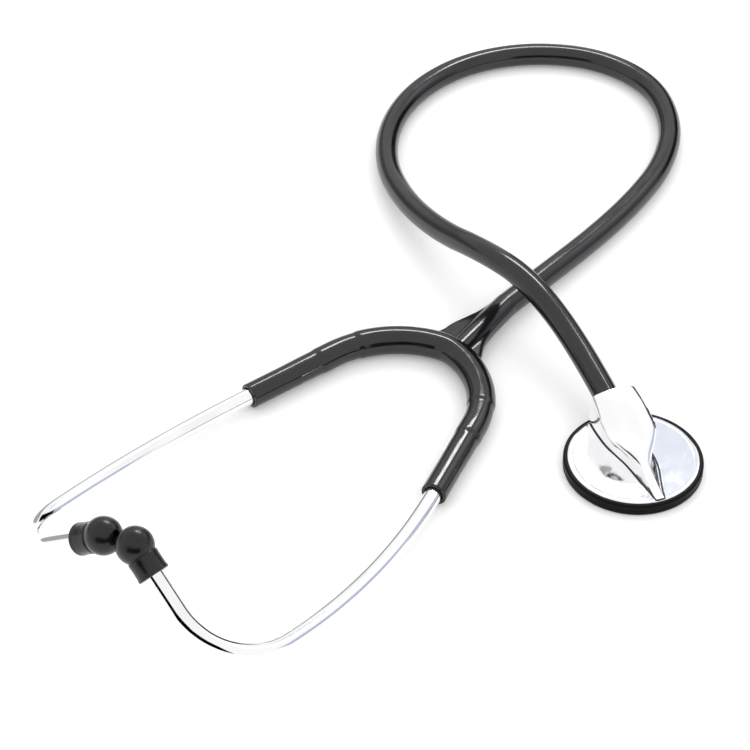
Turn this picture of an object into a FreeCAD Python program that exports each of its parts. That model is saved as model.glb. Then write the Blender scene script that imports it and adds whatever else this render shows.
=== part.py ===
"""Single-head stethoscope lying on a flat surface.

Row frame, millimetres: +Z up, the surface is Z = 0, and the origin is on it, under the middle of
the hard parts. The eartips point to -X and the tubing leaves the yoke towards +X. The headset is
symmetric about the plane Y = APEX.y, so its pieces are made for the left (+Y) side and mirrored.
"""
import FreeCAD, Part
import math
import os
from FreeCAD import Vector

UP = Vector(0, 0, 1)

# ---- headset layout -------------------------------------------------------------------------
APEX = Vector(79, 29, 5.5)      # middle of the yoke's arch
ARCH_HEADING = 81.7             # degrees off -X where each arm leaves the apex
LEG_HEADING = 14.5              # degrees off -X along the straight legs
ARCH_BEND = 40.5                # bend radius of the arch
HINGE_ALONG = 14.0              # apex to the place where each arm flexes, along the arch
LEG_LENGTH = 39.5

# ---- yoke -----------------------------------------------------------------------------------
ARCH_R = 5.5                    # section radius of the arch
SLEEVE_R = 4.8                  # section radius at the mouths of the legs
HINGE_SOCKET_R = 6.0
LUMEN_R = 1.6                   # air passage
STEP_START, STEP_END = 19.0, 24.0   # where a leg thins from ARCH_R to SLEEVE_R
WEB_HALF = 10.0                 # gusset half width at the arch
WEB_REACH = 30.0                # gusset tip, from the apex
WEB_THICK = 6.0

# ---- leaf spring and its clips, offsets measured towards the inside of the arch -------------
SPRING_NEAR, SPRING_FAR = 3.2, 4.0
SPRING_HALF = 2.2
SPRING_REACH = 9.0              # how far it runs into each leg
CLIP_THICK = 0.55
CLIP_HALF = 1.9
CLIP_START = 2.0
CLIP_RING = (14.0, 18.0)
FIT = 0.05                      # assembly clearance of moulded pockets

# ---- ear tubes, stations along a leg measured from its start --------------------------------
FERRULE = (12.0, 36.0)
FERRULE_R = 3.9
EAR_R = 3.25
EAR_BORE_R = 2.4
EAR_START = 10.6
FLARE_R, FLARE_LENGTH = 3.7, 1.1
CHAMBER = (10.0, 12.0)
CHAMBER_R = 4.0
RUNNING_FIT = 0.05
MOUTH_GAP = 0.3
# bends after the leg: radius, turn and lift of the bend's plane
EAR_BENDS = [(263.0, 20.9, 32.8), (32.1, 35.6, 26.2), (26.8, 52.9, 26.4)]
LEFT_ROLL, RIGHT_ROLL = -1.5, 1.5   # degrees each tube is turned in its ferrule, seen as left

# ---- eartips, stations measured from the end of the last bend -------------------------------
TIP_START, TIP_END = 14.5, 32.6
EAR_END = 18.8
NIPPLE_FLANGE = 1.0
NIPPLE_SPIGOT = 6.0
NIPPLE_R = 2.2
NIPPLE_BORE_R = 1.0
NIPPLE_INSIDE = 5.0
INSERT_R = 3.2
INSERT_START, INSERT_END = 20.0, 26.6
TIP_BORE_R = 1.3
SKIRT_R, SKIRT_LENGTH = 5.8, 5.5
WAIST_R = 5.2
BULB_R = 6.6
SKIRT_CAVITY_R = 3.6

# ---- tubing ---------------------------------------------------------------------------------
TUBE_R = 4.8
ROUTE = [
    (113.0, 27.0, 5.5),
    (138.5, 25.5, 5.5),
    (171.0, 24.0, 4.9),
    (201.0, 24.5, 4.9),
    (230.0, 28.5, 4.9),
    (257.0, 41.0, 4.9),
    (277.5, 64.0, 4.9),
    (280.5, 94.0, 4.9),
    (266.0, 121.5, 4.9),
    (241.0, 139.5, 4.9),
    (212.0, 144.5, 4.9),
    (183.0, 138.0, 4.9),
    (158.0, 121.0, 5.6),
    (140.0, 97.0, 8.5),
    (126.0, 69.0, 15.0),
    (116.0, 40.0, 25.0),
    (112.5, 17.0, 25.0),
    (101.7, -13.4, 17.4),
    (83.3, -42.3, 12.6),
]
ARC_SHARE = 0.45                # of the shorter run, taken by the arc at each point

# ---- chestpiece, in its own frame: x along the stem, z up, centre of the disc at the origin --
CHEST_CENTRE = Vector(72, -60, 0)
CHEST_TURN = 57.5               # degrees from +X to the stem
STEM_RISE = 8.0
STEM_END_X, STEM_END_Z = 21.0, 12.6
DISC_R = 24.2
DISC_BOTTOM, DISC_TOP = 1.2, 5.0
BOWL_R, BOWL_EDGE_Z, BOWL_TOP_Z = 20.5, 1.7, 3.2
RIM_R, RIM_TOP, RIM_LIP_R = 25.75, 4.7, 21.8
DIAPHRAGM_R = 19.8
DIAPHRAGM_Z, DIAPHRAGM_THICK = 0.35, 0.4
SURROUND_GAP = 0.2
# hood sections: x, foot (y, z), flank (y, z), shoulder (y, z), crown z
HOOD = [
    (25.0, (7.8, 5.4), (7.6, 13.0), (7.9, 20.6), 23.0),
    (19.5, (8.0, 4.4), (7.7, 13.0), (8.3, 20.0), 22.4),
    (14.0, (7.9, 4.4), (7.7, 12.0), (8.8, 18.6), 21.2),
    (8.0, (7.3, 4.4), (7.3, 11.0), (9.2, 16.2), 19.3),
    (2.0, (5.8, 4.4), (6.2, 9.5), (8.9, 14.2), 17.3),
    (-3.0, (4.6, 4.4), (4.4, 8.5), (6.2, 12.8), 15.4),
    (-9.0, (3.8, 4.4), (2.8, 6.6), (2.4, 9.8), 11.0),
    (-14.0, (3.2, 4.4), (2.3, 5.8), (1.9, 7.2), 7.7),
    (-19.0, (2.4, 4.4), (1.9, 5.0), (1.75, 5.7), 6.1),
    (-23.5, (1.9, 4.4), (1.8, 4.8), (1.7, 5.1), 5.3),
]
# the open end leans back: x and z of its face at the foot and above the crown
MOUTH_FOOT, MOUTH_CROWN = (24.6, 5.0), (19.3, 22.4)
STEM_R = 2.5
STEM_LENGTH = 16.0
COLLAR_R, COLLAR_LENGTH = 4.7, 1.5
BARB_LENGTH, BARB_R = 12.0, 1.5
STEM_BORE_R = 1.1
RING_R, RING_SECTION = 2.35, 0.55
RING_ALONG = 6.0
PORT_X, PORT_R = 3.0, 1.6


# ---- paths ----------------------------------------------------------------------------------
def level_heading(degrees):
    """Unit vector in the level plane, turned from -X towards +Y."""
    angle = math.radians(degrees)
    return Vector(-math.cos(angle), math.sin(angle), 0)


def inward(heading):
    """Level unit vector square to a heading, towards the inside of the left arm."""
    side = UP.cross(heading)
    side.normalize()
    return side


def straight(start, heading, length):
    """A straight station."""
    return {"start": start, "heading": heading, "length": length,
            "end": start + heading * length, "end_heading": heading}


def bend(start, heading, radius, turn, lift=0.0):
    """A bend that turns inward, its plane lifted by some degrees from level."""
    side = inward(heading)
    rise = heading.cross(side)
    angle = math.radians(lift)
    to_centre = side * math.cos(angle) + rise * math.sin(angle)
    centre = start + to_centre * radius
    axis = heading.cross(to_centre)
    spin = FreeCAD.Rotation(axis, turn)
    return {"start": start, "heading": heading, "centre": centre, "axis": axis, "turn": turn,
            "end": centre + spin.multVec(start - centre), "end_heading": spin.multVec(heading)}


def after(station, length):
    """The straight station that carries on from another one."""
    return straight(station["end"], station["end_heading"], length)


def shift(station, distance):
    """Point on a straight station at a distance from its start."""
    return station["start"] + station["heading"] * distance


def sweep(face, station):
    """Carry a face that stands at a station's start along that station."""
    if "turn" in station:
        return face.revolve(station["centre"], station["axis"], station["turn"])
    return face.extrude(station["heading"] * station["length"])


def disc(start, heading, radius):
    return Part.Face(Part.Wire(Part.makeCircle(radius, start, heading)))


def strip(start, heading, near, far, half):
    """Upright rectangle whose near and far sides are offsets towards the inside."""
    side = inward(heading)
    corners = [start + side * near - UP * half, start + side * far - UP * half,
               start + side * far + UP * half, start + side * near + UP * half]
    return Part.Face(Part.makePolygon(corners + corners[:1]))


def joined(shapes):
    """Fuse shapes into one clean solid, one after another."""
    body = shapes[0]
    for shape in shapes[1:]:
        body = body.fuse(shape)
    return body.removeSplitter()


def carved(body, cutters):
    """Cut shapes out of a body, one after another."""
    for cutter in cutters:
        body = body.cut(cutter)
    return body


def round_bar(stations, radius):
    return joined([sweep(disc(s["start"], s["heading"], radius), s) for s in stations])


def flat_bar(stations, near, far, half):
    return joined([sweep(strip(s["start"], s["heading"], near, far, half), s) for s in stations])


def rod(station, span, radius):
    """Cylinder between two distances along a straight station."""
    return Part.makeCylinder(radius, span[1] - span[0], shift(station, span[0]), station["heading"])


def turned(station, outline):
    """Solid of revolution about a straight station from (distance, radius) points."""
    heading = station["heading"]
    across = inward(heading)
    points = [shift(station, along) + across * radius for along, radius in outline]
    face = Part.Face(Part.makePolygon(points + points[:1]))
    return face.revolve(station["start"], heading, 360)


def rolled(shape, degrees):
    """The same piece turned about the axis of the left leg."""
    copy = shape.copy()
    copy.rotate(LEG["end"], LEG["heading"], degrees)
    return copy


def mirrored(shape):
    """The same piece on the other side of the headset."""
    return shape.mirror(APEX, Vector(0, 1, 0))


# ---- the left side's stations ---------------------------------------------------------------
FIRST_TURN = math.degrees(HINGE_ALONG / ARCH_BEND)
STUB = bend(APEX, level_heading(ARCH_HEADING), ARCH_BEND, FIRST_TURN)
HINGE = STUB["end"]
ARM_BEND = bend(HINGE, STUB["end_heading"], ARCH_BEND, ARCH_HEADING - LEG_HEADING - FIRST_TURN)
LEG = after(ARM_BEND, LEG_LENGTH)
EAR_STATIONS = [LEG]
for radius, turn, lift in EAR_BENDS:
    last = EAR_STATIONS[-1]
    EAR_STATIONS.append(bend(last["end"], last["end_heading"], radius, turn, lift))
TIP = after(EAR_STATIONS[-1], TIP_END)


# ---- yoke -----------------------------------------------------------------------------------
def yoke_crotch():
    """Middle of the arch, the stem that the tubing joins, and the flat gusset between them."""
    exit_point = Vector(*ROUTE[0])
    stem = straight(APEX, (exit_point - APEX).normalize(), (exit_point - APEX).Length)
    side = round_bar([STUB], ARCH_R)
    slot = flat_bar([STUB], SPRING_NEAR - FIT, SPRING_FAR + FIT, SPRING_HALF + FIT)
    passage = round_bar([STUB], LUMEN_R)
    socket = Part.makeSphere(HINGE_SOCKET_R, HINGE)
    corners = [(0, -WEB_HALF), (WEB_REACH, -SLEEVE_R / 2), (WEB_REACH, SLEEVE_R / 2), (0, WEB_HALF)]
    outline = [APEX + Vector(x, y, -WEB_THICK / 2) for x, y in corners + corners[:1]]
    web = Part.Face(Part.makePolygon(outline)).extrude(UP * WEB_THICK)
    knuckle = Part.makeSphere(ARCH_R, APEX)
    body = joined([side, mirrored(side), knuckle, rod(stem, (0, stem["length"]), SLEEVE_R), web])
    cutters = [slot, mirrored(slot), passage, mirrored(passage), socket, mirrored(socket),
               rod(stem, (0, stem["length"]), LUMEN_R), Part.makeSphere(LUMEN_R, APEX)]
    return carved(body, cutters)


def yoke_arm():
    """Half of the arch with its leg, a ball where it flexes and a sleeve for the ear tube."""
    arch = round_bar([ARM_BEND], ARCH_R)
    ball = Part.makeSphere(ARCH_R, HINGE)
    leg = turned(LEG, [(0, 0), (0, ARCH_R), (STEP_START, ARCH_R), (STEP_END, SLEEVE_R),
                       (LEG_LENGTH, SLEEVE_R), (LEG_LENGTH, 0)])
    body = joined([arch, ball, leg])
    slot_run = straight(LEG["start"], LEG["heading"], SPRING_REACH + FIT)
    slot_path = [STUB, ARM_BEND, slot_run]
    slot = flat_bar(slot_path, SPRING_NEAR - FIT, SPRING_FAR + FIT, SPRING_HALF + FIT)
    clip_length = CLIP_RING[1] - CLIP_START + 2 * FIT
    clip_run = straight(shift(LEG, CLIP_START - FIT), LEG["heading"], clip_length)
    clip_slot = flat_bar([clip_run], SPRING_FAR, SPRING_FAR + CLIP_THICK + 2 * FIT, CLIP_HALF + FIT)
    cutters = [slot, clip_slot, round_bar([STUB, ARM_BEND], LUMEN_R),
               rod(LEG, (0, CHAMBER[0]), LUMEN_R),
               rod(LEG, CHAMBER, CHAMBER_R),
               rod(LEG, (CHAMBER[1], FERRULE[1]), FERRULE_R),
               rod(LEG, (CLIP_RING[0] - FIT, CLIP_RING[1] + FIT), FERRULE_R + CLIP_THICK + FIT),
               rod(LEG, (FERRULE[1], LEG_LENGTH), EAR_R + MOUTH_GAP)]
    return carved(body, cutters)


def leaf_spring():
    """Steel strip bent round the arch, from one leg to the other."""
    run = straight(LEG["start"], LEG["heading"], SPRING_REACH)
    half = flat_bar([STUB, ARM_BEND, run], SPRING_NEAR, SPRING_FAR, SPRING_HALF)
    return joined([half, mirrored(half)])


def spring_clip():
    """Ring round the ferrule with a tab that lies on the end of the spring."""
    run = straight(shift(LEG, CLIP_START), LEG["heading"], CLIP_RING[1] - CLIP_START)
    near = SPRING_FAR + FIT
    tab = flat_bar([run], near, near + CLIP_THICK, CLIP_HALF)
    ring = rod(LEG, CLIP_RING, FERRULE_R + CLIP_THICK)
    return joined([tab, ring]).cut(rod(LEG, CLIP_RING, FERRULE_R))


def ferrule():
    """Brass bush, moulded into the sleeve, in which the ear tube turns."""
    return rod(LEG, FERRULE, FERRULE_R).cut(rod(LEG, FERRULE, EAR_R + RUNNING_FIT))


# ---- ear tube and eartip --------------------------------------------------------------------
def ear_tube():
    """Bent tube with a flare that keeps it in the ferrule."""
    inserted = straight(shift(LEG, EAR_START), LEG["heading"], LEG_LENGTH - EAR_START)
    stations = [inserted] + EAR_STATIONS[1:] + [after(EAR_STATIONS[-1], EAR_END)]
    flare = rod(LEG, (EAR_START, EAR_START + FLARE_LENGTH), FLARE_R)
    body = joined([round_bar(stations, EAR_R), flare])
    return body.cut(round_bar(stations, EAR_BORE_R))


def nipple():
    """Screw end pressed into the ear tube, with a flange and a spigot for the eartip."""
    flange_end = EAR_END + NIPPLE_FLANGE
    spigot_end = flange_end + NIPPLE_SPIGOT
    inside = EAR_END - NIPPLE_INSIDE
    return turned(TIP, [(inside, NIPPLE_BORE_R), (inside, EAR_BORE_R), (EAR_END, EAR_BORE_R),
                        (EAR_END, EAR_R), (flange_end, EAR_R), (flange_end, NIPPLE_R),
                        (spigot_end, NIPPLE_R), (spigot_end, NIPPLE_BORE_R)])


def eartip_insert():
    """Hard threaded core inside the soft eartip."""
    bore = NIPPLE_R + RUNNING_FIT
    return turned(TIP, [(INSERT_START, bore), (INSERT_START, INSERT_R), (INSERT_END, INSERT_R),
                        (INSERT_END, bore)])


def eartip():
    """Soft eartip: a flared skirt, a waist and a round bulb."""
    heading = TIP["heading"]
    across = inward(heading)
    bulb_centre = TIP_END - BULB_R
    skirt_end = TIP_START + SKIRT_LENGTH
    opening = math.sqrt(BULB_R ** 2 - TIP_BORE_R ** 2)
    waist = math.sqrt(BULB_R ** 2 - WAIST_R ** 2)

    def at(along, radius):
        return shift(TIP, along) + across * radius

    front = at(bulb_centre + opening, TIP_BORE_R)
    back = at(bulb_centre - waist, WAIST_R)
    crown = Part.Arc(front, at(bulb_centre, BULB_R), back).toShape()
    skirt = Part.makePolygon([
        back, at(skirt_end, WAIST_R), at(TIP_START, SKIRT_R), at(TIP_START, SKIRT_CAVITY_R),
        at(INSERT_START, SKIRT_CAVITY_R), at(INSERT_START, INSERT_R), at(INSERT_END, INSERT_R),
        at(INSERT_END, TIP_BORE_R), front])
    face = Part.Face(Part.Wire([crown] + skirt.Edges))
    return face.revolve(TIP["start"], heading, 360)


# ---- tubing ---------------------------------------------------------------------------------
def tubing_path():
    """Straight runs joined by tangent arcs, one arc at each inner point of the route."""
    points = [Vector(*p) for p in ROUTE]
    edges = []
    radii = []
    here = points[0]
    for before, corner, beyond in zip(points, points[1:], points[2:]):
        back = before - corner
        on = beyond - corner
        reach = ARC_SHARE * min(back.Length, on.Length)
        back.normalize()
        on.normalize()
        half_open = back.getAngle(on) / 2
        radius = reach * math.tan(half_open)
        bisector = (back + on).normalize()
        middle = corner + bisector * (radius / math.sin(half_open) - radius)
        edges.append(Part.LineSegment(here, corner + back * reach).toShape())
        edges.append(Part.Arc(corner + back * reach, middle, corner + on * reach).toShape())
        here = corner + on * reach
        radii.append(radius)
    edges.append(Part.LineSegment(here, points[-1]).toShape())
    return Part.Wire(edges), radii


def acoustic_tubing():
    """The single-bore tube from the yoke to the stem, and its measurements."""
    path, radii = tubing_path()
    start = Vector(*ROUTE[0])
    heading = Vector(*ROUTE[1]) - start
    outer = path.makePipeShell([Part.Wire(Part.makeCircle(TUBE_R, start, heading))], True, False)
    inner = path.makePipeShell([Part.Wire(Part.makeCircle(LUMEN_R, start, heading))], True, False)
    tube = outer.cut(inner)
    expected = math.pi * (TUBE_R ** 2 - LUMEN_R ** 2) * path.Length
    print("tubing radii", [round(r, 1) for r in radii])
    print("tubing length", round(path.Length, 1), "volume / (section x length)",
          round(tube.Volume / expected, 5))
    return tube


# ---- chestpiece -----------------------------------------------------------------------------
def on_chest(shape):
    """Place a shape made in the chestpiece's own frame."""
    shape.rotate(Vector(0, 0, 0), UP, CHEST_TURN)
    shape.translate(CHEST_CENTRE)
    return shape


def ring_of(outline):
    """Solid of revolution about the disc's axis from (radius, z) points."""
    points = [Vector(radius, 0, z) for radius, z in outline]
    return Part.Face(Part.makePolygon(points + points[:1])).revolve(Vector(0, 0, 0), UP, 360)


def stem_station():
    """Along the stem, from the end of the tubing into the chestpiece."""
    angle = math.radians(STEM_RISE)
    return straight(Vector(STEM_END_X, 0, STEM_END_Z),
                    Vector(-math.cos(angle), 0, -math.sin(angle)), STEM_LENGTH)


def hood_section(x, foot, flank, shoulder, crown):
    def at(y, z):
        return Vector(x, y, z)

    right = Part.Arc(at(-foot[0], foot[1]), at(-flank[0], flank[1]), at(-shoulder[0], shoulder[1]))
    top = Part.Arc(at(-shoulder[0], shoulder[1]), at(0, crown), at(*shoulder))
    left = Part.Arc(at(*shoulder), at(*flank), at(*foot))
    base = Part.LineSegment(at(*foot), at(-foot[0], foot[1]))
    return Part.Wire([edge.toShape() for edge in (right, top, left, base)])


def hood_face():
    """Block that trims the open end of the hood to its leaning face."""
    width = 2 * DISC_R
    (foot_x, foot_z), (crown_x, crown_z) = MOUTH_FOOT, MOUTH_CROWN
    lean = (foot_x - crown_x) / (crown_z - foot_z)
    low = Vector(foot_x + lean * foot_z, -DISC_R, 0)
    high = Vector(crown_x - lean * foot_z, -DISC_R, crown_z + foot_z)
    corners = [low, high, high + Vector(width, 0, 0), low + Vector(width, 0, 0)]
    return Part.Face(Part.makePolygon(corners + corners[:1])).extrude(Vector(0, width, 0))


def chestpiece_body():
    """Steel disc with the hood over the stem, a shallow bowl below and the air port."""
    disc_solid = ring_of([(0, DISC_BOTTOM), (DISC_R, DISC_BOTTOM), (DISC_R, DISC_TOP), (0, DISC_TOP)])
    hood = Part.makeLoft([hood_section(*row) for row in HOOD], True, True).cut(hood_face())
    stem = stem_station()
    bowl = ring_of([(0, 0), (BOWL_R, 0), (BOWL_R, BOWL_EDGE_Z), (0, BOWL_TOP_Z)])
    mouth = rod(stem, (-4 * COLLAR_LENGTH, COLLAR_LENGTH + FIT), TUBE_R + MOUTH_GAP)
    socket = rod(stem, (0, STEM_LENGTH + FIT), STEM_R + RUNNING_FIT)
    passage = rod(stem, (0, STEM_LENGTH + 3 * PORT_R), PORT_R)
    port = Part.makeCylinder(PORT_R, STEM_END_Z - PORT_R, Vector(PORT_X, 0, 0))
    return on_chest(carved(joined([disc_solid, hood]), [bowl, mouth, socket, passage, port]))


def chestpiece_rim():
    """Rubber ring gripping the disc's edge and the diaphragm's surround."""
    chamfer = 0.45
    inner = DISC_R + FIT
    floor = DISC_BOTTOM - FIT
    return on_chest(ring_of([
        (RIM_LIP_R, 0), (RIM_R - chamfer, 0), (RIM_R, chamfer), (RIM_R, RIM_TOP - chamfer),
        (RIM_R - chamfer, RIM_TOP), (inner, RIM_TOP), (inner, floor), (RIM_LIP_R, floor)]))


def diaphragm():
    bottom = Vector(0, 0, DIAPHRAGM_Z)
    return on_chest(Part.makeCylinder(DIAPHRAGM_R, DIAPHRAGM_THICK, bottom))


def diaphragm_surround():
    """Flexible ring between the diaphragm and the rim."""
    inner = DIAPHRAGM_R + SURROUND_GAP
    top = DIAPHRAGM_Z + DIAPHRAGM_THICK
    return on_chest(ring_of([(inner, DIAPHRAGM_Z), (RIM_LIP_R, DIAPHRAGM_Z), (RIM_LIP_R, top),
                             (inner, top)]))


def swivel_stem():
    """Steel stem: a barb in the tubing, a collar at its end and a shank in the chestpiece."""
    stem = stem_station()
    body = joined([rod(stem, (-BARB_LENGTH, COLLAR_LENGTH), BARB_R),
                   rod(stem, (FIT, COLLAR_LENGTH), COLLAR_R),
                   rod(stem, (COLLAR_LENGTH, STEM_LENGTH), STEM_R)])
    groove = Part.makeTorus(RING_R, RING_SECTION, shift(stem, RING_ALONG), stem["heading"])
    return on_chest(carved(body, [rod(stem, (-BARB_LENGTH, STEM_LENGTH), STEM_BORE_R), groove]))


def stem_seal():
    """O-ring in the stem's groove, just inside the running surface."""
    stem = stem_station()
    section = RING_SECTION - FIT
    ring = Part.makeTorus(RING_R, section, shift(stem, RING_ALONG), stem["heading"])
    return on_chest(ring.common(rod(stem, (0, STEM_LENGTH), STEM_R)))


def write(name, shape):
    shape.exportStep(os.path.join("parts", name + ".step"))


def main():
    os.makedirs("parts", exist_ok=True)
    single = {
        "yoke_crotch": yoke_crotch, "leaf_spring": leaf_spring, "acoustic_tubing": acoustic_tubing,
        "swivel_stem": swivel_stem, "stem_seal": stem_seal, "chestpiece_body": chestpiece_body,
        "chestpiece_rim": chestpiece_rim, "diaphragm_surround": diaphragm_surround,
        "diaphragm": diaphragm,
    }
    paired = {"yoke_arm": yoke_arm, "spring_clip": spring_clip, "ferrule": ferrule}
    turning = {
        "ear_tube": ear_tube, "ear_tube_nipple": nipple, "eartip_insert": eartip_insert,
        "eartip": eartip,
    }
    for name, make in single.items():
        write(name, make())
    for name, make in paired.items():
        shape = make()
        write("left_" + name, shape)
        write("right_" + name, mirrored(shape))
    for name, make in turning.items():
        shape = make()
        write("left_" + name, rolled(shape, LEFT_ROLL))
        write("right_" + name, mirrored(rolled(shape, RIGHT_ROLL)))


main()
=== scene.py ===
"""Looks of the stethoscope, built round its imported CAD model. Metres, in the CAD's own frame."""
import math

import bpy
import numpy as np
from mathutils import Matrix, Vector


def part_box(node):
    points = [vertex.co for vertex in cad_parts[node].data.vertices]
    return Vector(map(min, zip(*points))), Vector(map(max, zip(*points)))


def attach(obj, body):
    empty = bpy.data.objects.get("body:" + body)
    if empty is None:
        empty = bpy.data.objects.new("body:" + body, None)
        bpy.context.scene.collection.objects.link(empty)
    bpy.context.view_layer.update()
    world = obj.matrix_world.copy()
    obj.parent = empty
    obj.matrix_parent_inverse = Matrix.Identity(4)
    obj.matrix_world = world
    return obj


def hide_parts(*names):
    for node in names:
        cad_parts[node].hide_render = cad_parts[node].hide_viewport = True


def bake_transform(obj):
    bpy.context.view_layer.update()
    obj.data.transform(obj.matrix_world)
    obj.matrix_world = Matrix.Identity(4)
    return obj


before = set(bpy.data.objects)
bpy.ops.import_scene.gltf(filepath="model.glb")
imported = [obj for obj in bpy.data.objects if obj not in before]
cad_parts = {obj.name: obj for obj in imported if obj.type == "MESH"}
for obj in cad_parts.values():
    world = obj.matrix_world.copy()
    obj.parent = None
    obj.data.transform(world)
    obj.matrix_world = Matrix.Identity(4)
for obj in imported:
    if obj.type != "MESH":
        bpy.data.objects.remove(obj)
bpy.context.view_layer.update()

MM = 0.001
UP = Vector((0, 0, 1))


def mm(*values):
    """A point given in millimetres."""
    return Vector(values) * MM


# ---- camera and light -----------------------------------------------------------------------
CAMERA_PLACE = Vector((-0.4987, -0.3825, 0.6153))
CAMERA_TARGET = Vector((0.0544, 0.0461, 0.0))
CAMERA_LENS = 116.7


def make_camera():
    data = bpy.data.cameras.new("camera")
    data.lens = CAMERA_LENS
    data.clip_start, data.clip_end = 0.05, 20
    camera = bpy.data.objects.new("camera", data)
    camera.location = CAMERA_PLACE
    camera.rotation_euler = (CAMERA_TARGET - CAMERA_PLACE).to_track_quat("-Z", "Y").to_euler()
    bpy.context.scene.collection.objects.link(camera)
    bpy.context.scene.camera = camera


make_camera()

# ---- tubing: the route's points, then one smooth spline through the cord ----------------------
TUBE_R = 4.8 * MM
ROUTE = [
    (0.1130, 0.0270, 0.0055),
    (0.1385, 0.0255, 0.0055),
    (0.1710, 0.0240, 0.0049),
    (0.2010, 0.0245, 0.0049),
    (0.2300, 0.0285, 0.0049),
    (0.2570, 0.0410, 0.0049),
    (0.2775, 0.0640, 0.0049),
    (0.2805, 0.0940, 0.0049),
    (0.2660, 0.1215, 0.0049),
    (0.2410, 0.1395, 0.0049),
    (0.2120, 0.1445, 0.0049),
    (0.1830, 0.1380, 0.0049),
    (0.1580, 0.1210, 0.0056),
    (0.1400, 0.0970, 0.0085),
    (0.1260, 0.0690, 0.0150),
    (0.1160, 0.0400, 0.0250),
    (0.1125, 0.0170, 0.0250),
    (0.1017, -0.0134, 0.0174),
    (0.0833, -0.0423, 0.0126),
]


def route_line():
    """Points along the smooth line that the route's points control."""
    data = bpy.data.curves.new("route", "CURVE")
    data.dimensions = "3D"
    spline = data.splines.new("NURBS")
    spline.points.add(len(ROUTE) - 1)
    for point, place in zip(spline.points, ROUTE):
        point.co = (*place, 1)
    spline.order_u = 3
    spline.use_endpoint_u = True
    spline.resolution_u = 24
    route = bpy.data.objects.new("route", data)
    line = bpy.data.meshes.new_from_object(route)
    points = [v.co.copy() for v in line.vertices]
    bpy.data.objects.remove(route)
    return points


# ---- paths: straight stations and bends, as the pieces are swept along them --------------------
APEX = mm(79, 29, 5.5)
ARCH_HEADING = 81.7             # degrees off -X where each arm leaves the apex
SQUARING = math.radians(90 - ARCH_HEADING)
LEG_HEADING = 14.5
ARCH_BEND = 40.5 * MM
HINGE_ALONG = 14.0 * MM
LEG_LENGTH = 39.5 * MM
APEX_EASE = 6.0 * MM            # the two arms' headings meet squarely over this length
EAR_START = 10.6 * MM
EAR_BENDS = [(263.0, 20.9, 32.8), (32.1, 35.6, 26.2), (26.8, 52.9, 26.4)]   # mm, degrees, degrees
EAR_END = 18.8 * MM
LEFT_ROLL, RIGHT_ROLL = -1.5, 1.5   # degrees each ear tube is turned in its ferrule, seen as left


def level_heading(degrees):
    angle = math.radians(degrees)
    return Vector((-math.cos(angle), math.sin(angle), 0))


def straight(start, heading, length):
    return {"start": start, "heading": heading, "length": length,
            "end": start + heading * length, "end_heading": heading}


def bend(start, heading, radius, turn, lift=0.0):
    """A bend that turns inward on the left side, its plane lifted by some degrees from level."""
    side = UP.cross(heading).normalized()
    rise = heading.cross(side)
    angle = math.radians(lift)
    to_centre = side * math.cos(angle) + rise * math.sin(angle)
    centre = start + to_centre * radius
    axis = heading.cross(to_centre)
    spin = Matrix.Rotation(math.radians(turn), 3, axis)
    return {"start": start, "heading": heading, "centre": centre, "axis": axis,
            "length": radius * math.radians(turn), "turn": math.radians(turn),
            "end": centre + spin @ (start - centre), "end_heading": spin @ heading}


def place(stations, along):
    """Point and heading at a distance along stations; before and past the ends it goes straight on."""
    for station in stations:
        if along <= station["length"] or station is stations[-1]:
            break
        along -= station["length"]
    if "turn" not in station or along < 0:
        return station["start"] + station["heading"] * along, station["heading"]
    if along > station["length"]:
        over = along - station["length"]
        return station["end"] + station["end_heading"] * over, station["end_heading"]
    spin = Matrix.Rotation(station["turn"] * along / station["length"], 3, station["axis"])
    point = station["centre"] + spin @ (station["start"] - station["centre"])
    return point, spin @ station["heading"]


def total(stations):
    return sum(station["length"] for station in stations)


FIRST_TURN = math.degrees(HINGE_ALONG / ARCH_BEND)
STUB = bend(APEX, level_heading(ARCH_HEADING), ARCH_BEND, FIRST_TURN)
HINGE = STUB["end"]
ARM_BEND = bend(HINGE, STUB["end_heading"], ARCH_BEND, ARCH_HEADING - LEG_HEADING - FIRST_TURN)
LEG = straight(ARM_BEND["end"], ARM_BEND["end_heading"], LEG_LENGTH)
ARCH_LENGTH = STUB["length"] + ARM_BEND["length"]
EAR_STATIONS = [straight(LEG["start"] + LEG["heading"] * EAR_START, LEG["heading"],
                         LEG_LENGTH - EAR_START)]
for radius, turn, lift in EAR_BENDS:
    last = EAR_STATIONS[-1]
    EAR_STATIONS.append(bend(last["end"], last["end_heading"], radius * MM, turn, lift))
TIP = straight(EAR_STATIONS[-1]["end"], EAR_STATIONS[-1]["end_heading"], EAR_END)
EAR_STATIONS.append(TIP)


# ---- meshes ---------------------------------------------------------------------------------
def smooth(x):
    """0 to 1 with no corner at either end."""
    x = min(max(x, 0.0), 1.0)
    return x * x * (3 - 2 * x)


def ring(centre, heading, radius, count, reference=UP):
    """Points of a circle square to a heading."""
    side = heading.cross(reference).normalized()
    rise = side.cross(heading)
    angles = [2 * math.pi * k / count for k in range(count)]
    return [centre + (side * math.cos(a) + rise * math.sin(a)) * radius for a in angles]


def ring_normals(rings):
    """Outward normals of a grid of rings, taken across each point's neighbours."""
    grid = np.array([[tuple(p) for p in one] for one in rings])
    round_way = np.roll(grid, -1, axis=1) - np.roll(grid, 1, axis=1)
    long_way = np.gradient(grid, axis=0)
    normals = np.cross(long_way, round_way)
    return normals / np.maximum(np.linalg.norm(normals, axis=2, keepdims=True), 1e-12)


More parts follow.
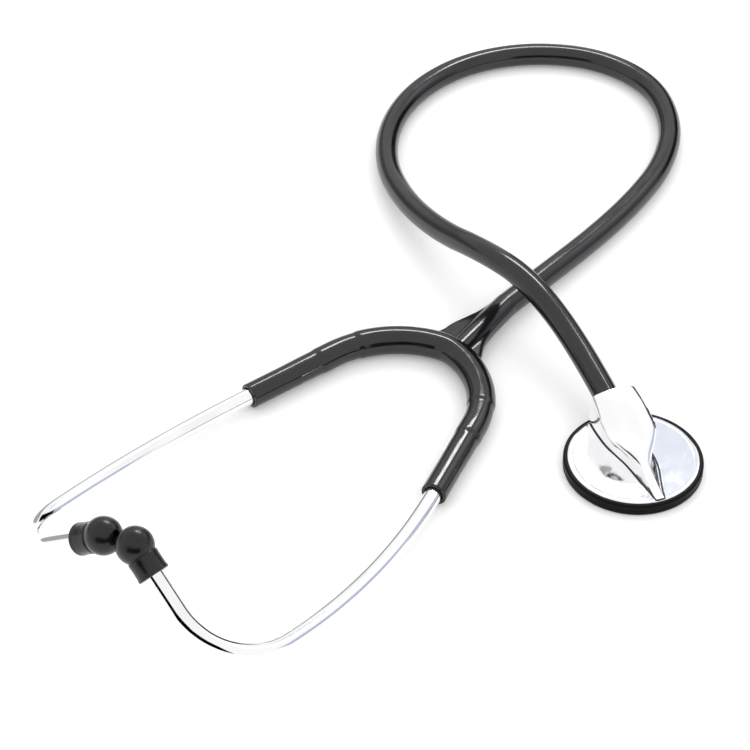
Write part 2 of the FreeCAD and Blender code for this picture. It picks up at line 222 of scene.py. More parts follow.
def skin(name, rings, loop=False, normals=None, sharp=40):
    """A mesh over rings of points. Its two ends are closed by a fan, or it runs back to its start."""
    count = len(rings[0])
    points = [tuple(p) for one in rings for p in one]
    faces = []
    last = len(rings) if loop else len(rings) - 1
    for i in range(last):
        here, there = i * count, ((i + 1) % len(rings)) * count
        for j in range(count):
            k = (j + 1) % count
            faces.append((here + j, there + j, there + k, here + k))
    if not loop:
        for start, flip in ((0, False), ((len(rings) - 1) * count, True)):
            middle = len(points)
            points.append(tuple(np.mean(points[start:start + count], axis=0)))
            for j in range(count):
                k = (j + 1) % count
                first, second = (start + k, start + j) if flip else (start + j, start + k)
                faces.append((middle, first, second))
    mesh = bpy.data.meshes.new(name)
    mesh.from_pydata(points, [], faces)
    mesh.validate()
    mesh.shade_smooth()
    if normals is None:
        mesh.set_sharp_from_angle(angle=math.radians(sharp))
    else:
        flat = [tuple(n) for one in normals for n in one]
        ends = [tuple(np.mean(one, axis=0)) for one in (normals[0], normals[-1])]
        mesh.normals_split_custom_set_from_vertices(flat + ([] if loop else ends))
    piece = bpy.data.objects.new(name, mesh)
    bpy.context.scene.collection.objects.link(piece)
    return piece


def swept(stations, outline, count):
    """Rings for (distance, radius) pairs along stations."""
    rings = []
    for along, radius in outline:
        centre, heading = place(stations, along)
        rings.append(ring(centre, heading, radius, count))
    return rings


def mirrored(rings):
    """The same rings on the other side of the headset, still facing out."""
    return [[Vector((p.x, 2 * APEX.y - p.y, p.z)) for p in reversed(one)] for one in rings]


def both_sides(rings):
    return {"left": rings, "right": mirrored(rings)}


def rolled(rings, degrees):
    """Rings of the left side turned about the axis of its leg."""
    turn = Matrix.Rotation(math.radians(degrees), 3, LEG["heading"])
    return [[LEG["end"] + turn @ (p - LEG["end"]) for p in one] for one in rings]


def both_rolled(rings):
    return {"left": rolled(rings, LEFT_ROLL), "right": mirrored(rolled(rings, RIGHT_ROLL))}


def rounded(corner, before, beyond, radius, steps=6):
    """Points of the arc that rounds a corner of an outline; all are (distance, radius) pairs."""
    corner, before, beyond = Vector(corner), Vector(before), Vector(beyond)
    back, on = (before - corner).normalized(), (beyond - corner).normalized()
    half = back.angle(on) / 2
    reach = radius / math.tan(half)
    centre = corner + (back + on).normalized() * (radius / math.sin(half))
    start, end = corner + back * reach, corner + on * reach
    points = []
    for k in range(steps + 1):
        chord = start.lerp(end, k / steps)
        points.append(tuple(centre + (chord - centre).normalized() * radius))
    return points


def outline_of(corners, closed=False):
    """An outline through corners given as (distance, radius, rounding)."""
    points = []
    for k, (along, radius, rounding) in enumerate(corners):
        inner = closed or 0 < k < len(corners) - 1
        if rounding and inner:
            before = corners[k - 1][:2]
            beyond = corners[(k + 1) % len(corners)][:2]
            points += rounded((along, radius), before, beyond, rounding)
        else:
            points.append((along, radius))
    return points


def between(low, high, step):
    count = max(1, round((high - low) / step))
    return [low + (high - low) * k / count for k in range(count + 1)]


# ---- materials ------------------------------------------------------------------------------
class Nodes:
    """Short calls for building one material's nodes."""

    def __init__(self, name):
        self.material = bpy.data.materials.new(name)
        self.material.use_nodes = True
        self.tree = self.material.node_tree
        self.shader = self.tree.nodes["Principled BSDF"]

    def add(self, kind, **values):
        """A new node with values put on its inputs, given by name with _ for a space."""
        node = self.tree.nodes.new(kind)
        for key, value in values.items():
            node.inputs[key.replace("_", " ")].default_value = value
        return node

    def link(self, out, target):
        self.tree.links.new(out, target)

    def position(self, stretch=(1, 1, 1)):
        """Object position in metres, stretched by a factor each way."""
        source = self.add("ShaderNodeTexCoord")
        mapping = self.add("ShaderNodeMapping", Scale=stretch)
        self.link(source.outputs["Object"], mapping.inputs["Vector"])
        return mapping.outputs["Vector"]

    def noise(self, scale, detail=3.0, roughness=0.5, stretch=(1, 1, 1)):
        node = self.add("ShaderNodeTexNoise", Scale=scale, Detail=detail, Roughness=roughness)
        self.link(self.position(stretch), node.inputs["Vector"])
        return node.outputs["Fac"]

    def spread(self, value, low, high):
        """Map a noise's middle part onto a range."""
        node = self.add("ShaderNodeMapRange", From_Min=0.3, From_Max=0.7, To_Min=low, To_Max=high)
        self.link(value, node.inputs["Value"])
        return node.outputs["Result"]

    def shades(self, value, first, second):
        """Run from one colour to another over a value's middle part."""
        node = self.add("ShaderNodeValToRGB")
        stops = node.color_ramp.elements
        for stop, position, colour in ((stops[0], 0.35, first), (stops[1], 0.65, second)):
            stop.position = position
            stop.color = (*colour, 1)
        self.link(value, node.inputs["Fac"])
        return node.outputs["Color"]

    def bumps(self, layers):
        """Bump from (height, depth in metres) layers, one after another."""
        normal = None
        for height, depth in layers:
            node = self.add("ShaderNodeBump", Strength=1.0, Distance=depth)
            self.link(height, node.inputs["Height"])
            if normal is not None:
                self.link(normal, node.inputs["Normal"])
            normal = node.outputs["Normal"]
        self.link(normal, self.shader.inputs["Normal"])

    def set(self, **values):
        for key, value in values.items():
            self.shader.inputs[key.replace("_", " ")].default_value = value

    def colour(self, out):
        self.link(out, self.shader.inputs["Base Color"])

    def roughness(self, out):
        self.link(out, self.shader.inputs["Roughness"])


def vinyl(name, gloss, ripple):
    """Black plasticised PVC: satin skin, faint dip-moulding ripple, a little dust and handling haze."""
    m = Nodes(name)
    m.colour(m.shades(m.noise(60, 4), (0.005, 0.005, 0.0055), (0.010, 0.009, 0.009)))
    m.roughness(m.spread(m.noise(140, 5), gloss - 0.04, gloss + 0.06))
    m.bumps([(m.noise(45, 2), ripple), (m.noise(1800, 3), 0.000006)])
    m.set(IOR=1.53)
    return m.material


def rubber(name, tone, gloss, grain, index=1.5):
    """Moulded black rubber with a fine matt grain."""
    m = Nodes(name)
    m.colour(m.shades(m.noise(220, 4), (tone * 0.8,) * 3, (tone * 1.25,) * 3))
    m.roughness(m.spread(m.noise(400, 4), gloss - 0.05, gloss + 0.07))
    m.bumps([(m.noise(90, 2), 0.00008), (m.noise(2600, 3), grain)])
    m.set(IOR=index)
    return m.material


def metal(name, tint, gloss, wave, stretch=(1, 1, 1)):
    """Polished metal: buffing haze in patches, hairline marks and a very slight waviness."""
    m = Nodes(name)
    darker = tuple(c * 0.94 for c in tint)
    m.colour(m.shades(m.noise(70, 3), darker, tint))
    m.roughness(m.spread(m.noise(260, 5, 0.6, stretch), gloss * 0.6, gloss * 1.6))
    m.bumps([(m.noise(38, 2), wave), (m.noise(1500, 2, 0.5, stretch), 0.000001)])
    m.set(Metallic=1.0)
    return m.material


def film(name):
    """Resin diaphragm with a fine woven-glass pattern."""
    m = Nodes(name)
    weave = m.add("ShaderNodeTexWave", Scale=900, Distortion=0.6)
    weave.wave_type = "BANDS"
    weave.bands_direction = "DIAGONAL"
    m.link(m.position(), weave.inputs["Vector"])
    m.colour(m.shades(weave.outputs["Fac"], (0.62, 0.60, 0.52), (0.72, 0.70, 0.62)))
    m.roughness(m.spread(m.noise(300, 4), 0.22, 0.34))
    m.bumps([(weave.outputs["Fac"], 0.00001)])
    m.set(IOR=1.55)
    return m.material


MATERIALS = {
    "yoke_vinyl": vinyl("yoke_vinyl", 0.13, 0.00022),
    "tubing_vinyl": vinyl("tubing_vinyl", 0.16, 0.00012),
    "eartip_rubber": rubber("eartip_rubber", 0.004, 0.24, 0.000006, 1.45),
    "rim_rubber": rubber("rim_rubber", 0.003, 0.42, 0.000006, 1.20),
    # dark rubber of the seals; the same material paints the crease shade along the hood's foot
    "seal_rubber": rubber("seal_rubber", 0.015, 0.50, 0.000008),
    "ear_tube_chrome": metal("ear_tube_chrome", (0.93, 0.93, 0.93), 0.07, 0.00010),
    "hood_chrome": metal("hood_chrome", (0.97, 0.97, 0.98), 0.15, 0.00005),
    "polished_steel": metal("polished_steel", (0.95, 0.95, 0.96), 0.035, 0.00006),
    "stem_steel": metal("stem_steel", (0.80, 0.79, 0.77), 0.14, 0.00004, (1, 1, 6)),
    "spring_steel": metal("spring_steel", (0.42, 0.44, 0.48), 0.25, 0.00004, (1, 1, 8)),
    "ferrule_brass": metal("ferrule_brass", (0.82, 0.62, 0.30), 0.20, 0.00004),
    "insert_plastic": rubber("insert_plastic", 0.05, 0.38, 0.000006),
    "diaphragm_film": film("diaphragm_film"),
}


def finish_piece(piece, slot, look=None):
    """Give a new piece the material of its slot, unless another look is named."""
    piece.data.materials.clear()
    piece.data.materials.append(MATERIALS[look or slot])


# ---- tubing ---------------------------------------------------------------------------------
TUBE_COUNT = 56


def make_tubing():
    """The acoustic tube from the yoke round its loop to the chestpiece."""
    line = route_line()
    rings = []
    for k, point in enumerate(line):
        heading = (line[min(k + 1, len(line) - 1)] - line[max(k - 1, 0)]).normalized()
        rings.append(ring(point, heading, TUBE_R, TUBE_COUNT))
    tubing = skin("tubing", rings)
    finish_piece(tubing, "tubing_vinyl")
    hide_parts("acoustic_tubing")
    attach(tubing, "root")


make_tubing()

# ---- yoke -----------------------------------------------------------------------------------
ARCH_R = 5.5 * MM
SLEEVE_R = 4.8 * MM
ARM_COUNT = 64
BORE_R = 3.93 * MM              # round the ferrule
CLIP_RING_R = 4.5 * MM
MOUTH_R = 3.55 * MM
BORE_FROM, MOUTH_FROM = 10.0, 36.0   # mm along the leg
CLIP_GROOVE = (13.9, 18.1)
ARM_TAPERS = [                  # start along the leg, length, and how much the radius falls, in mm
    (-12.0, 2.2, 0.36),
    (-5.0, 6.0, -0.06),
    (5.6, 3.2, 0.26),
    (12.0, 12.0, 0.14),
]


def arm_centre(along):
    """Point and heading along an arm, from the apex. The two arms run square into each other."""
    point, heading = place([STUB, ARM_BEND, LEG], along)
    ease = 1 - smooth(along / APEX_EASE)
    square = Matrix.Rotation(-SQUARING * ease, 3, UP)
    sag = SQUARING * APEX_EASE * 0.5
    left = max(0.0, 1 - along / APEX_EASE)
    shift = -sag * left ** 3 * (1 - 0.5 * left)
    return point + Vector((shift, 0, 0)), square @ heading


def arm_radius(along):
    """The arch is thick; it thins at two moulding steps and again into the sleeve."""
    leg = (along - ARCH_LENGTH) / MM
    radius = ARCH_R
    for start, length, fall in ARM_TAPERS:
        radius -= fall * MM * smooth((leg - start) / length)
    return radius


def arm_outline():
    """(distance, radius) pairs over the outside of an arm, round its mouth and down its bore."""
    end = ARCH_LENGTH + LEG_LENGTH
    lip_start = end - 0.8 * MM
    bore_from, groove_from, groove_to, mouth_from = (
        ARCH_LENGTH + along * MM for along in (BORE_FROM, *CLIP_GROOVE, MOUTH_FROM))
    outside = [(along, arm_radius(along)) for along in between(0, lip_start, 0.6 * MM)]
    lip = outline_of([(lip_start, SLEEVE_R, 0), (end, SLEEVE_R, 0.45 * MM),
                      (end, MOUTH_R, 0.3 * MM), (mouth_from, MOUTH_R, 0)])[1:]
    inside = [(mouth_from, BORE_R), (groove_to, BORE_R), (groove_to, CLIP_RING_R),
              (groove_from, CLIP_RING_R), (groove_from, BORE_R), (bore_from, BORE_R)]
    return outside + lip + inside


def arm_rings():
    rings = []
    for along, radius in arm_outline():
        centre, heading = arm_centre(along)
        rings.append(ring(centre, heading, radius, ARM_COUNT))
    return rings


def flexed(piece):
    """Bake a piece's place into its mesh."""
    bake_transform(piece)


def make_yoke_arms():
    """Each half of the arch with its sleeve."""
    left = arm_rings()
    right = mirrored(left)
    # one run of rings from the right mouth over the apex to the left mouth, for even normals
    turned_round = [list(reversed(one)) for one in reversed(right)]
    whole = turned_round[:-1] + left
    normals = ring_normals(whole)
    middle = len(turned_round) - 1
    left_normals = normals[middle:]
    right_normals = normals[:middle + 1][::-1, ::-1]
    for side, rings, towards in (("left", left, left_normals), ("right", right, right_normals)):
        piece = skin("yoke_arm_skin_" + side, rings, normals=towards)
        finish_piece(piece, "yoke_vinyl")
        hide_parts(side + "_yoke_arm")
        flexed(piece)


STEM_START = APEX + mm(0, -3.6, 0)
STEM_END = Vector(ROUTE[0])
STEM_PAST = 0.6 * MM
WEB_Z = 2.2 * MM                # half thickness of the gusset
# how far the gusset reaches each side of the stem, at distances along it, in mm
WEB_LEFT = [(0, 13.5), (4, 12.8), (8, 11.3), (12, 10.6), (16, 9.2), (20, 7.7), (24, 6.3),
            (30, 5.0), (34, 4.4)]
WEB_RIGHT = [(0, 10.5), (4, 9.0), (8, 7.2), (12, 6.0), (20, 5.0), (34, 4.4)]
STEM_COUNT = 120


def eased(table, x):
    """Smooth value through a short list of (x, value) points."""
    xs = [row[0] for row in table]
    ys = [row[1] for row in table]
    if x >= xs[-1]:
        return ys[-1]
    k = max(i for i in range(len(xs) - 1) if xs[i] <= max(x, xs[0]))

    def slope(i):
        low, high = max(i - 1, 0), min(i + 1, len(xs) - 1)
        return (ys[high] - ys[low]) / (xs[high] - xs[low])

    width = xs[k + 1] - xs[k]
    t = (x - xs[k]) / width
    return ((2 * t ** 3 - 3 * t ** 2 + 1) * ys[k] + (t ** 3 - 2 * t ** 2 + t) * width * slope(k)
            + (3 * t ** 2 - 2 * t ** 3) * ys[k + 1] + (t ** 3 - t ** 2) * width * slope(k + 1))


def stem_section(along_mm, angle):
    """Radius of the stem and its gusset at an angle from +Y, as a soft union of tube and slab."""
    reach = eased(WEB_LEFT if math.cos(angle) > 0 else WEB_RIGHT, along_mm) * MM
    across = abs(math.cos(angle)) / reach
    rise = abs(math.sin(angle)) / WEB_Z
    slab = (across ** 5 + rise ** 5) ** (-1 / 5)
    tube = TUBE_R + 0.02 * MM
    return (slab ** 14 + tube ** 14) ** (1 / 14)


def make_stem():
    """Stem that the tubing joins, with the flat gusset that ties it to the arch."""
    axis = (STEM_END - STEM_START).normalized()
    across = UP.cross(axis)
    rings = []
    length = (STEM_END - STEM_START).length + STEM_PAST
    for along in between(0, length, 0.5 * MM):
        centre = STEM_START + axis * along
        one = []
        for k in range(STEM_COUNT):
            angle = 2 * math.pi * k / STEM_COUNT
            reach = stem_section(along / MM, angle)
            one.append(centre + (across * math.cos(angle) + UP * math.sin(angle)) * reach)
        rings.append(one)
    piece = skin("yoke_stem", [list(reversed(one)) for one in rings], sharp=60)
    finish_piece(piece, "yoke_vinyl")
    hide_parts("yoke_crotch")
    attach(piece, "root")


SPRING_NEAR, SPRING_FAR = 3.2 * MM, 4.0 * MM
SPRING_HALF = 2.2 * MM
SPRING_REACH = 9.0 * MM


def make_springs():
    """Leaf spring inside the arch, one half each side of the apex, with softened corners."""
    near, far, half = SPRING_NEAR, SPRING_FAR, SPRING_HALF
    trim = 0.15 * MM
    section = [(near + trim, -half), (far - trim, -half), (far, trim - half), (far, half - trim),
               (far - trim, half), (near + trim, half), (near, half - trim), (near, trim - half)]
    rings = []
    for along in between(0, ARCH_LENGTH + SPRING_REACH, 1.2 * MM):
        centre, heading = arm_centre(along)
        side = UP.cross(heading).normalized()
        rings.append([centre + side * reach + UP * rise for reach, rise in reversed(section)])
    for side, one in both_sides(rings).items():
        piece = skin("leaf_spring_" + side, one, sharp=30)
        finish_piece(piece, "spring_steel")
        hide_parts("leaf_spring")
        flexed(piece)


# ---- ear tubes and eartips ------------------------------------------------------------------
EAR_R, EAR_BORE_R = 3.25 * MM, 2.4 * MM
FLARE_R, FLARE_LENGTH = 3.7 * MM, 1.1 * MM
EAR_COUNT = 56
TIP_COUNT = 72
BULB_R, BULB_CENTRE = 6.6, 26.0     # mm, mm along the tip
CROWN_FROM, CROWN_TO, CROWN_STEPS = 123, 13.5, 30   # degrees round the bulb, off the tip's heading


def make_ear_tubes():
    """Bent chromed tubes, hollow, with rounded ends and the flare that holds them in."""
    end = total(EAR_STATIONS)
    run = between(FLARE_LENGTH + 0.3 * MM, end - 0.5 * MM, 1.0 * MM)
    flare = outline_of([(0, EAR_BORE_R, 0), (0, FLARE_R, 0.15 * MM), (FLARE_LENGTH, FLARE_R, 0.15 * MM),
                        (FLARE_LENGTH, EAR_R, 0)])
    tail = outline_of([(end - 0.5 * MM, EAR_R, 0), (end, EAR_R, 0.2 * MM), (end, EAR_BORE_R, 0)])[1:]
    outside = [(along, EAR_R) for along in run]
    bore = [(along, EAR_BORE_R) for along in reversed(run)]
    rings = swept(EAR_STATIONS, flare + outside + tail + bore, EAR_COUNT)
    for side, one in both_rolled(rings).items():
        piece = skin("ear_tube_skin_" + side, one, loop=True)
        finish_piece(piece, "ear_tube_chrome")
        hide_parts(side + "_ear_tube")
        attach(piece, side + "_ear_tube")


def eartip_outline():
    """(distance, radius) in mm from the cavity, over the skirt and bulb and back down the bore."""
    crown = []
    for k in range(CROWN_STEPS + 1):
        angle = math.radians(CROWN_FROM + (CROWN_TO - CROWN_FROM) * k / CROWN_STEPS)
        crown.append((BULB_CENTRE + BULB_R * math.cos(angle), BULB_R * math.sin(angle), 0))
    corners = [
        (20.0, 3.2, 0), (20.0, 3.62, 0.1), (14.5, 3.72, 0.5), (14.5, 5.75, 0.45), (16.2, 5.5, 1.5),
        (19.4, 5.45, 2.0), (21.5, 5.55, 0.3), (21.75, 5.28, 0.12), (22.0, 5.28, 0.12),
        *crown, (32.42, 1.42, 0.1), (31.7, 1.3, 0.3), (26.6, 1.3, 0), (26.6, 3.2, 0)]
    points = outline_of(corners, closed=True)
    return [(along * MM, radius * MM) for along, radius in points]


def make_eartips():
    """Soft eartips: flared skirt, ring groove, round bulb with its sound hole."""
    rings = swept([TIP], eartip_outline(), TIP_COUNT)
    for side, one in both_rolled(rings).items():
        piece = skin("eartip_skin_" + side, one, loop=True, sharp=50)
        finish_piece(piece, "eartip_rubber")
        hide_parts(side + "_eartip")
        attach(piece, side + "_eartip")


# ---- chestpiece -----------------------------------------------------------------------------
CHEST_TURN = 57.5               # degrees from +X to the hood's open end
RIM_LOW, RIM_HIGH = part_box("chestpiece_rim")
CHEST_CENTRE = Vector(((RIM_LOW.x + RIM_HIGH.x) / 2, (RIM_LOW.y + RIM_HIGH.y) / 2, 0))
DISC_COUNT = 160
HOOD_SPLIT = 14                 # points along each of a hood section's arcs
# x along the hood; y and z of a section's foot, flank and shoulder; z of its crown; all in mm
HOOD = [
    (-23.5, 1.9, 4.4, 1.8, 4.8, 1.7, 5.1, 5.3),
    (-19.0, 2.4, 4.4, 1.9, 5.0, 1.75, 5.7, 6.1),
    (-14.0, 3.2, 4.4, 2.3, 5.8, 1.9, 7.2, 7.7),
    (-9.0, 3.8, 4.4, 2.8, 6.6, 2.4, 9.8, 11.0),
    (-3.0, 4.6, 4.4, 4.5, 8.7, 6.9, 13.4, 15.6),
    (2.0, 5.8, 4.4, 6.4, 9.8, 9.8, 15.2, 17.8),
    (8.0, 7.3, 4.4, 7.5, 11.0, 10.1, 17.2, 19.8),
    (14.0, 7.9, 4.4, 7.9, 12.0, 9.6, 19.3, 21.6),
    (19.5, 8.0, 4.4, 7.9, 13.0, 9.0, 20.5, 22.7),
    (25.0, 7.8, 5.4, 7.8, 13.0, 8.5, 21.0, 23.2),
]
HOOD_FRONT, HOOD_BACK = HOOD[0][0], HOOD[-1][0]
STEM_RISE = 8.0                 # degrees
STEM_END_X, STEM_END_Z = 21.0, 12.6
HOOD_MOUTH_R = 5.1
MOUTH_FOOT, MOUTH_CROWN = (24.6, 5.0), (19.3, 22.4)   # x and z of the open end's leaning face
DISC_TOP = 5.0
# how much further the right flank's foot flares out, at distances x along the hood
RIGHT_FLARE = [(-23.5, 0.0), (-19.0, 0.6), (-14.0, 1.4), (-9.0, 2.4), (-3.0, 2.6), (3.0, 1.2),
               (9.0, 0.0), (25.0, 0.0)]
# thin dark line painted along the hood's foot as crease shade: its radius, then its inset and reach in
# mm
CREASE_SHADE_R, CREASE_SHADE_INSET, CREASE_SHADE_BACK = 0.34 * MM, 0.15, 22.0
LEAN_FROM = 6.0                 # the sections lean more and more from here to the open end


def on_chest(point):
    """A point of the chestpiece's own frame, given in mm, in the row frame."""
    return Matrix.Rotation(math.radians(CHEST_TURN), 3, "Z") @ (Vector(point) * MM) + CHEST_CENTRE


def spun(outline):
    """Rings about the disc's axis for (radius, z) points in mm; outlines run counterclockwise."""
    angles = [2 * math.pi * k / DISC_COUNT for k in range(DISC_COUNT)]
    rings = []
    for radius, z in outline:
        rings.append([on_chest((radius * math.cos(a), radius * math.sin(a), z)) for a in angles])
    return rings


def make_disc():
    """Polished disc: mirror top with a turned step near its edge, shallow bowl below."""
    corners = [
        (0.01, 3.2, 0), (12.0, 2.75, 0), (20.5, 1.7, 0.3), (20.5, 1.2, 0.15), (24.2, 1.2, 0.3),
        (24.2, 4.75, 0.3), (23.4, 5.0, 0.5), (22.3, 4.98, 0.1), (22.1, 4.93, 0.1), (12.0, 4.97, 0),
        (0.01, 5.0, 0)]
    piece = skin("chest_disc", spun(outline_of(corners)), sharp=50)
    finish_piece(piece, "polished_steel")
    return piece


def arc_through(first, middle, last, count):
    """Points from first up to, but not at, last on the circle through three 2-D points."""
    (ax, ay), (bx, by), (cx, cy) = first, middle, last
    d = 2 * (ax * (by - cy) + bx * (cy - ay) + cx * (ay - by))
    ux = ((ax * ax + ay * ay) * (by - cy) + (bx * bx + by * by) * (cy - ay)
          + (cx * cx + cy * cy) * (ay - by)) / d
    uy = ((ax * ax + ay * ay) * (cx - bx) + (bx * bx + by * by) * (ax - cx)
          + (cx * cx + cy * cy) * (bx - ax)) / d
    start = math.atan2(ay - uy, ax - ux)
    end = math.atan2(cy - uy, cx - ux)
    through = math.atan2(by - uy, bx - ux)
    sweep = (end - start) % (2 * math.pi)
    if (through - start) % (2 * math.pi) > sweep:
        sweep -= 2 * math.pi
    radius = math.hypot(ax - ux, ay - uy)
    return [(ux + radius * math.cos(start + sweep * k / count),
             uy + radius * math.sin(start + sweep * k / count)) for k in range(count)]


def hood_row(x):
    """Hood section's foot, flank, shoulder and crown at a distance x, eased between the rows."""
    return [eased([(row[0], row[k]) for row in HOOD], x) for k in range(1, len(HOOD[0]))]


def hood_section(x):
    """Points round one hood section: right flank up, over the crown, left flank down, then the foot."""
    foot_y, foot_z, flank_y, flank_z, shoulder_y, shoulder_z, crown = hood_row(x)
    wide = eased(RIGHT_FLARE, x)
    right = arc_through((-foot_y - wide, foot_z), (-flank_y - 0.35 * wide, flank_z),
                        (-shoulder_y, shoulder_z), HOOD_SPLIT)
    top = arc_through((-shoulder_y, shoulder_z), (0, crown), (shoulder_y, shoulder_z), HOOD_SPLIT)
    left = arc_through((shoulder_y, shoulder_z), (flank_y, flank_z), (foot_y, foot_z), HOOD_SPLIT)
    base = [(foot_y - (2 * foot_y + wide) * k / HOOD_SPLIT, foot_z) for k in range(HOOD_SPLIT)]
    return right + top + left + base


def softened(points, passes):
    """Round a closed section's corners a little by averaging neighbours."""
    for _ in range(passes):
        count = len(points)
        points = [tuple(0.25 * points[i - 1][k] + 0.5 * points[i][k] + 0.25 * points[(i + 1) % count][k]
                        for k in (0, 1)) for i in range(count)]
    return points


def mouth_x(z):
    """Where the open end's leaning face stands at a height."""
    share = (z - MOUTH_FOOT[1]) / (MOUTH_CROWN[1] - MOUTH_FOOT[1])
    return MOUTH_FOOT[0] + (MOUTH_CROWN[0] - MOUTH_FOOT[0]) * share


def make_hood():
    """Hood over the stem: broad at the tubing, drawn down to a keel at the front of the disc."""
    stations = between(HOOD_FRONT, HOOD_BACK, 0.25)
    table = np.array([softened(hood_section(x), 2) for x in stations])

    def leaning(nominal):
        """Section whose points stand ever nearer the open end's leaning face."""
        lean = max(0.0, (nominal - LEAN_FROM) / (HOOD_BACK - LEAN_FROM))
        points = []
        for k in range(table.shape[1]):
            x = nominal
            for _ in range(5):
                z = np.interp(x, stations, table[:, k, 1])
                x = nominal + (mouth_x(z) - HOOD_BACK) * lean
            points.append((x, np.interp(x, stations, table[:, k, 0]), z))
        return points

    sections = [leaning(x) for x in between(HOOD_FRONT, HOOD_BACK - 0.3, 0.5)]
    lip = leaning(HOOD_BACK)

    def in_mouth(share=None, radius=None, depth=0.0):
        """The lip drawn in by a share, or laid on the mouth's circle, a depth inside the face."""
        points = []
        for x, y, z in lip:
            axis_z = STEM_END_Z + (mouth_x(z) - STEM_END_X) * math.tan(math.radians(STEM_RISE))
            away = Vector((y, z - axis_z))
            away = away * share if share else away.normalized() * radius
            z = axis_z + away.y
            points.append((mouth_x(z) - depth, away.x, z))
        return points

    sections += [in_mouth(share=0.997, depth=0.06), in_mouth(share=0.975),
                 in_mouth(radius=HOOD_MOUTH_R + 0.3), in_mouth(radius=HOOD_MOUTH_R, depth=0.3),
                 in_mouth(radius=HOOD_MOUTH_R, depth=2.2)]
    rings = [[on_chest(point) for point in section] for section in sections]
    piece = skin("chest_hood", rings, sharp=42)
    finish_piece(piece, "polished_steel", "hood_chrome")
    return piece


def make_crease_shade():
    """Painted crease shade: a thin dark line along the hood's foot, down one side, round the keel's end
    and up the other.
    """
    left = [(x, hood_row(x)[0] - CREASE_SHADE_INSET) for x in between(HOOD_FRONT, CREASE_SHADE_BACK, 0.5)]
    right = [(x, -y - eased(RIGHT_FLARE, x)) for x, y in reversed(left)]
    nose = [(HOOD_FRONT - 0.25, y) for y in (-1.0, 0.0, 1.0)]
    line = [on_chest((x, y, DISC_TOP)) for x, y in right + nose + left]
    rings = []
    for k, point in enumerate(line):
        heading = (line[min(k + 1, len(line) - 1)] - line[max(k - 1, 0)]).normalized()
        rings.append(ring(point, heading, CREASE_SHADE_R, 12))
    # a thin near-black tube: painted shade in the crease where the hood meets the disc
    piece = skin("chest_crease_shade", rings)
    finish_piece(piece, "seal_rubber")
    return piece


def make_rim():
    """Rubber rim: rounded outside, a thin lip over the disc's edge, a soft seam line round its side."""
    corners = [
        (21.8, 0.0, 0.3), (25.2, 0.0, 0.45), (25.75, 0.7, 0.5), (25.75, 2.2, 0.3), (25.62, 2.32, 0.1),
        (25.75, 2.44, 0.3), (25.75, 4.1, 0.6), (25.1, 4.7, 0.5), (24.25, 4.7, 0.25), (24.25, 1.15, 0),
        (21.8, 1.15, 0.2)]
    piece = skin("chest_rim", spun(outline_of(corners, closed=True)), loop=True, sharp=50)
    finish_piece(piece, "rim_rubber")
    return piece


def make_chestpiece():
    """The disc, hood and painted crease shade stand for the body; the rim stands for its own node."""
    for make, node in ((make_disc, "chestpiece_body"), (make_hood, "chestpiece_body"),
                       (make_crease_shade, "chestpiece_body"), (make_rim, "chestpiece_rim")):
        piece = make()
        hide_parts(node)
        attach(piece, "chestpiece")


# ---- CAD nodes that stay, with their finish ---------------------------------------------------
KEPT_PAIRS = {
    "spring_clip": "spring_steel",
    "ferrule": "ferrule_brass",
    "ear_tube_nipple": "stem_steel",
    "eartip_insert": "insert_plastic",
}
KEPT_SINGLE = {
    "swivel_stem": "stem_steel",
    "stem_seal": "seal_rubber",
    "diaphragm_surround": "seal_rubber",
    "diaphragm": "diaphragm_film",
}


def dress_kept_nodes():
    slots = dict(KEPT_SINGLE)
    for name, slot in KEPT_PAIRS.items():
        slots["left_" + name] = slot
        slots["right_" + name] = slot
    for name, slot in slots.items():
        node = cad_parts[name]
        node.data.materials.clear()
        node.data.materials.append(MATERIALS[slot])


# ---- studio ---------------------------------------------------------------------------------
STUDIO_MIDDLE = Vector((0.08, 0.03, 0.0))
WORLD_STRENGTH = 1.04
LAMPS = [       # name, place from the middle, size, power
    ("key", (0.728, 0.468, 0.975), (0.9, 0.7), 3.2),
    ("side", (0.30, -0.90, 0.96), (0.9, 0.6), 1.5),
]
WHITE, DIM, BLACK = (1, 1, 1), (0.4, 0.4, 0.4), (0, 0, 0)
CARDS = [       # name, place from the middle, size, colour, strength
    ("key_window", (0.7125, 0.35, 0.9375), (0.48, 0.15), WHITE, 20.0),
    ("tent_far", (1.0, -0.30, 0.80), (0.5, 0.30), WHITE, 1.8),
    ("tent_blue", (0.85, 0.185, 0.90), (0.38, 0.60), (0.83, 0.87, 0.96), 1.0),
    ("wall_blue", (1.0, -0.9, 0.30), (1.0, 0.5), (0.50, 0.56, 0.72), 1.0),
    ("flag_far", (0.30, 1.20, 0.24), (2.4, 0.40), DIM, 1.0),
    ("flag_right", (1.3, -0.1, 0.24), (1.4, 0.46), BLACK, 0.0),
    ("flag_left", (-1.2, -0.34, 0.34), (0.90, 0.66), BLACK, 0.0),
    ("flag_near", (-0.85, -0.90, 0.30), (0.95, 0.56), BLACK, 0.0),
]
FLOOR_HALF = 4.0
FLOOR_PLACE = (0.1, 0.03, -0.0001)
FLOOR_GLOW = 0.16               # painted light: the floor glows faintly, which lifts the shadows


def flat_sheet(name, half_width, half_depth):
    """A rectangle about its own origin."""
    mesh = bpy.data.meshes.new(name)
    corners = [(-half_width, -half_depth, 0), (half_width, -half_depth, 0),
               (half_width, half_depth, 0), (-half_width, half_depth, 0)]
    mesh.from_pydata(corners, [], [(0, 1, 2, 3)])
    sheet = bpy.data.objects.new(name, mesh)
    bpy.context.scene.collection.objects.link(sheet)
    return sheet


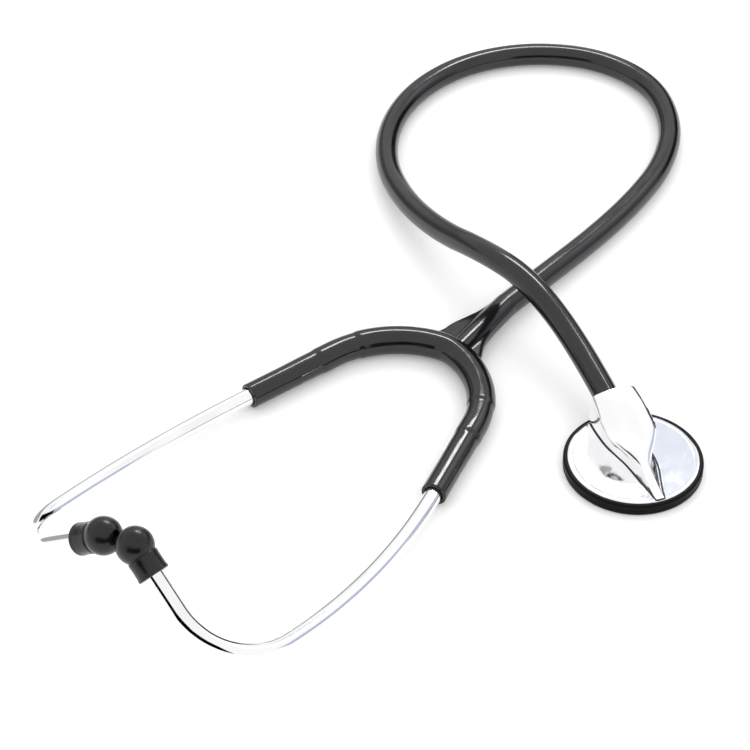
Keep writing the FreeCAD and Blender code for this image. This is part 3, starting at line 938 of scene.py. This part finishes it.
def glowing(name, colour, strength):
    """A material that only gives off light."""
    material = bpy.data.materials.new(name)
    material.use_nodes = True
    tree = material.node_tree
    tree.nodes.clear()
    glow = tree.nodes.new("ShaderNodeEmission")
    glow.inputs["Color"].default_value = (*colour, 1)
    glow.inputs["Strength"].default_value = strength
    output = tree.nodes.new("ShaderNodeOutputMaterial")
    tree.links.new(glow.outputs["Emission"], output.inputs["Surface"])
    return material


def make_card(name, place, size, colour, strength):
    """A flat panel seen only in reflections: a light tent's wall, or a black flag."""
    panel = flat_sheet(name, size[0] / 2, size[1] / 2)
    panel.location = STUDIO_MIDDLE + Vector(place)
    panel.rotation_euler = (-Vector(place)).to_track_quat("Z", "Y").to_euler()
    panel.data.materials.append(glowing(name, colour, strength))
    panel.visible_camera = False
    panel.visible_diffuse = False
    panel.visible_shadow = False


def make_lamp(name, place, size, power):
    """A soft lamp that lights the part and isn't seen in it."""
    data = bpy.data.lights.new(name, "AREA")
    data.shape = "RECTANGLE"
    data.size, data.size_y = size
    data.energy = power
    lamp = bpy.data.objects.new(name, data)
    lamp.location = STUDIO_MIDDLE + Vector(place)
    lamp.rotation_euler = (-Vector(place)).to_track_quat("-Z", "Y").to_euler()
    lamp.visible_camera = False
    lamp.visible_glossy = False
    bpy.context.scene.collection.objects.link(lamp)


def make_floor():
    floor = flat_sheet("floor", FLOOR_HALF, FLOOR_HALF)
    floor.location = FLOOR_PLACE
    m = Nodes("floor_paper")
    m.colour(m.shades(m.noise(9, 3), (0.90, 0.90, 0.90), (0.915, 0.915, 0.915)))
    m.bumps([(m.noise(700, 3), 0.00001)])
    m.set(Roughness=0.9, Specular_IOR_Level=0.1)
    # painted light: the floor's faint glow lifts the cast shadows
    m.set(Emission_Color=(1, 1, 1, 1), Emission_Strength=FLOOR_GLOW)
    floor.data.materials.append(m.material)


def make_studio():
    scene = bpy.context.scene
    scene.view_settings.view_transform = "Standard"
    world = bpy.data.worlds.new("studio")
    world.use_nodes = True
    background = world.node_tree.nodes["Background"]
    background.inputs["Color"].default_value = (*WHITE, 1)
    background.inputs["Strength"].default_value = WORLD_STRENGTH
    scene.world = world
    for lamp in LAMPS:
        make_lamp(*lamp)
    for card in CARDS:
        make_card(*card)
    make_floor()


make_yoke_arms()
make_stem()
make_springs()
make_ear_tubes()
make_eartips()
make_chestpiece()
dress_kept_nodes()
make_studio()

bpy.context.view_layer.update()
